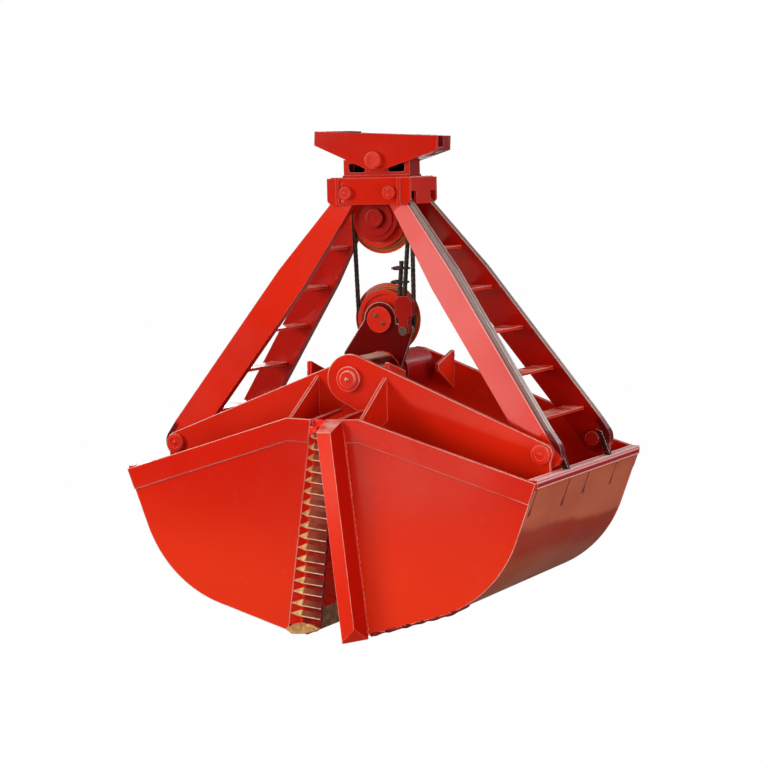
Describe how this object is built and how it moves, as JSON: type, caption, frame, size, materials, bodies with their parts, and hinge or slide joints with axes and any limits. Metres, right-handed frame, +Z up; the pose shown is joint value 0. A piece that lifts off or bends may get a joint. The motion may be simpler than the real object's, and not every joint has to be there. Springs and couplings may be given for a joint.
{
  "type": "clamshell grab bucket",
  "caption": "Rope-worked clamshell grab bucket: scoops hinged on a lower block, stepped arms up to a head box, rope sheaves between them and a rocking balance beam on top.",
  "frame": {"origin": "centre of the balance beam's pivot pin, which the grab hangs from", "axes": "+X the way the right-hand jaw opens, +Y along the hinges towards the back, +Z up"},
  "size_m": [2.184, 1.706, 2.4443],
  "materials": {
    "red_paint": "gloss",
    "worn_steel": "worn",
    "plain_steel": "oiled",
    "sheave_iron": "painted, rusty groove",
    "bronze": "greased",
    "wire_rope": "greased"
  },
  "bodies": {
    "equalizer_beam": {"beam_back_plate": "red_paint", "beam_front_plate": "red_paint", "beam_left_rope_anchor": "red_paint", "beam_pivot_pin": "red_paint", "beam_right_rope_anchor": "red_paint"},
    "head": {"head_arm_pins": "red_paint", "head_back_plate": "red_paint", "head_front_plate": "red_paint", "head_left_end_plate": "red_paint", "head_right_end_plate": "red_paint", "head_top_plate": "red_paint", "pedestal": "red_paint", "rope_dead_fall": "wire_rope", "rope_falls": "wire_rope", "rope_over_upper_sheave": "wire_rope", "upper_hanger_back": "red_paint", "upper_hanger_front": "red_paint", "upper_sheave_axle": "red_paint"},
    "upper_sheave": {"upper_sheave": "sheave_iron", "upper_sheave_bush": "bronze"},
    "lower_block": {"lower_block_back_cheek": "red_paint", "lower_block_front_cheek": "red_paint", "lower_block_hub": "red_paint", "lower_sheave_axle": "red_paint", "rope_clips": "plain_steel", "rope_socket": "red_paint", "rope_socket_pin": "plain_steel", "rope_under_lower_sheave": "wire_rope", "scoop_hinge_shaft": "red_paint"},
    "lower_sheave": {"lower_sheave": "sheave_iron", "lower_sheave_bush": "bronze"},
    "left_scoop": {"left_scoop_arm_pins": "red_paint", "left_scoop_back_hinge_plate": "red_paint", "left_scoop_back_lap_strip": "worn_steel", "left_scoop_back_side": "red_paint", "left_scoop_front_hinge_plate": "red_paint", "left_scoop_front_lap_strip": "worn_steel", "left_scoop_front_side": "red_paint", "left_scoop_gussets": "red_paint", "left_scoop_lip": "worn_steel", "left_scoop_rim": "red_paint", "left_scoop_shell": "red_paint"},
    "left_arm": {"left_arm_back_bar": "red_paint", "left_arm_front_bar": "red_paint", "left_arm_steps": "red_paint"},
    "right_scoop": {"right_scoop_arm_pins": "red_paint", "right_scoop_back_edge_bar": "red_paint", "right_scoop_back_hinge_plate": "red_paint", "right_scoop_back_side": "red_paint", "right_scoop_front_edge_bar": "red_paint", "right_scoop_front_hinge_plate": "red_paint", "right_scoop_front_side": "red_paint", "right_scoop_gussets": "red_paint", "right_scoop_lip": "worn_steel", "right_scoop_rim": "red_paint", "right_scoop_shell": "red_paint"},
    "right_arm": {"right_arm_back_bar": "red_paint", "right_arm_front_bar": "red_paint", "right_arm_steps": "red_paint"}
  },
  "joints": [
    {"name": "beam_rock", "type": "hinge", "parent": "equalizer_beam", "child": "head", "pos_m": [0, 0, 0], "axis": [0, 1, 0], "range_deg": [-12, 12]},
    {"name": "lower_block_travel", "type": "slide", "parent": "head", "child": "lower_block", "axis": [0, 0, -1], "range_m": [-0.1028, 0.5969], "deforming": ["rope_falls", "rope_dead_fall"]},
    {"name": "upper_sheave_spin", "type": "hinge", "parent": "head", "child": "upper_sheave", "pos_m": [0, 0, -0.288], "axis": [0, 1, 0], "range_deg": [-39, 224]},
    {"name": "lower_sheave_spin", "type": "hinge", "parent": "lower_block", "child": "lower_sheave", "pos_m": [0, 0, -0.797], "axis": [0, 1, 0], "range_deg": [-77.5, 448]},
    {"name": "right_scoop_swing", "type": "hinge", "parent": "lower_block", "child": "right_scoop", "pos_m": [0, 0, -1.064], "axis": [0, -1, 0], "range_deg": [-6.2, 36]},
    {"name": "left_scoop_swing", "type": "hinge", "parent": "lower_block", "child": "left_scoop", "pos_m": [0, 0, -1.064], "axis": [0, 1, 0], "range_deg": [-6.2, 36]},
    {"name": "right_arm_fold", "type": "hinge", "parent": "right_scoop", "child": "right_arm", "pos_m": [1, 0, -1.407], "axis": [0, -1, 0], "range_deg": [-32.5, 5.6]},
    {"name": "left_arm_fold", "type": "hinge", "parent": "left_scoop", "child": "left_arm", "pos_m": [-1, 0, -1.407], "axis": [0, 1, 0], "range_deg": [-32.5, 5.6]}
  ],
  "couplings": [
    {"joint": "upper_sheave_spin", "follows": "lower_block_travel", "rad_per_m": 6.5359},
    {"joint": "lower_sheave_spin", "follows": "lower_block_travel", "rad_per_m": 13.072},
    {"joint": "right_scoop_swing", "follows": "lower_block_travel", "rad_per_m": 1.0526},
    {"joint": "left_scoop_swing", "follows": "lower_block_travel", "rad_per_m": 1.0526},
    {"joint": "right_arm_fold", "follows": "lower_block_travel", "rad_per_m": -0.94316},
    {"joint": "left_arm_fold", "follows": "lower_block_travel", "rad_per_m": -0.94316}
  ]
}
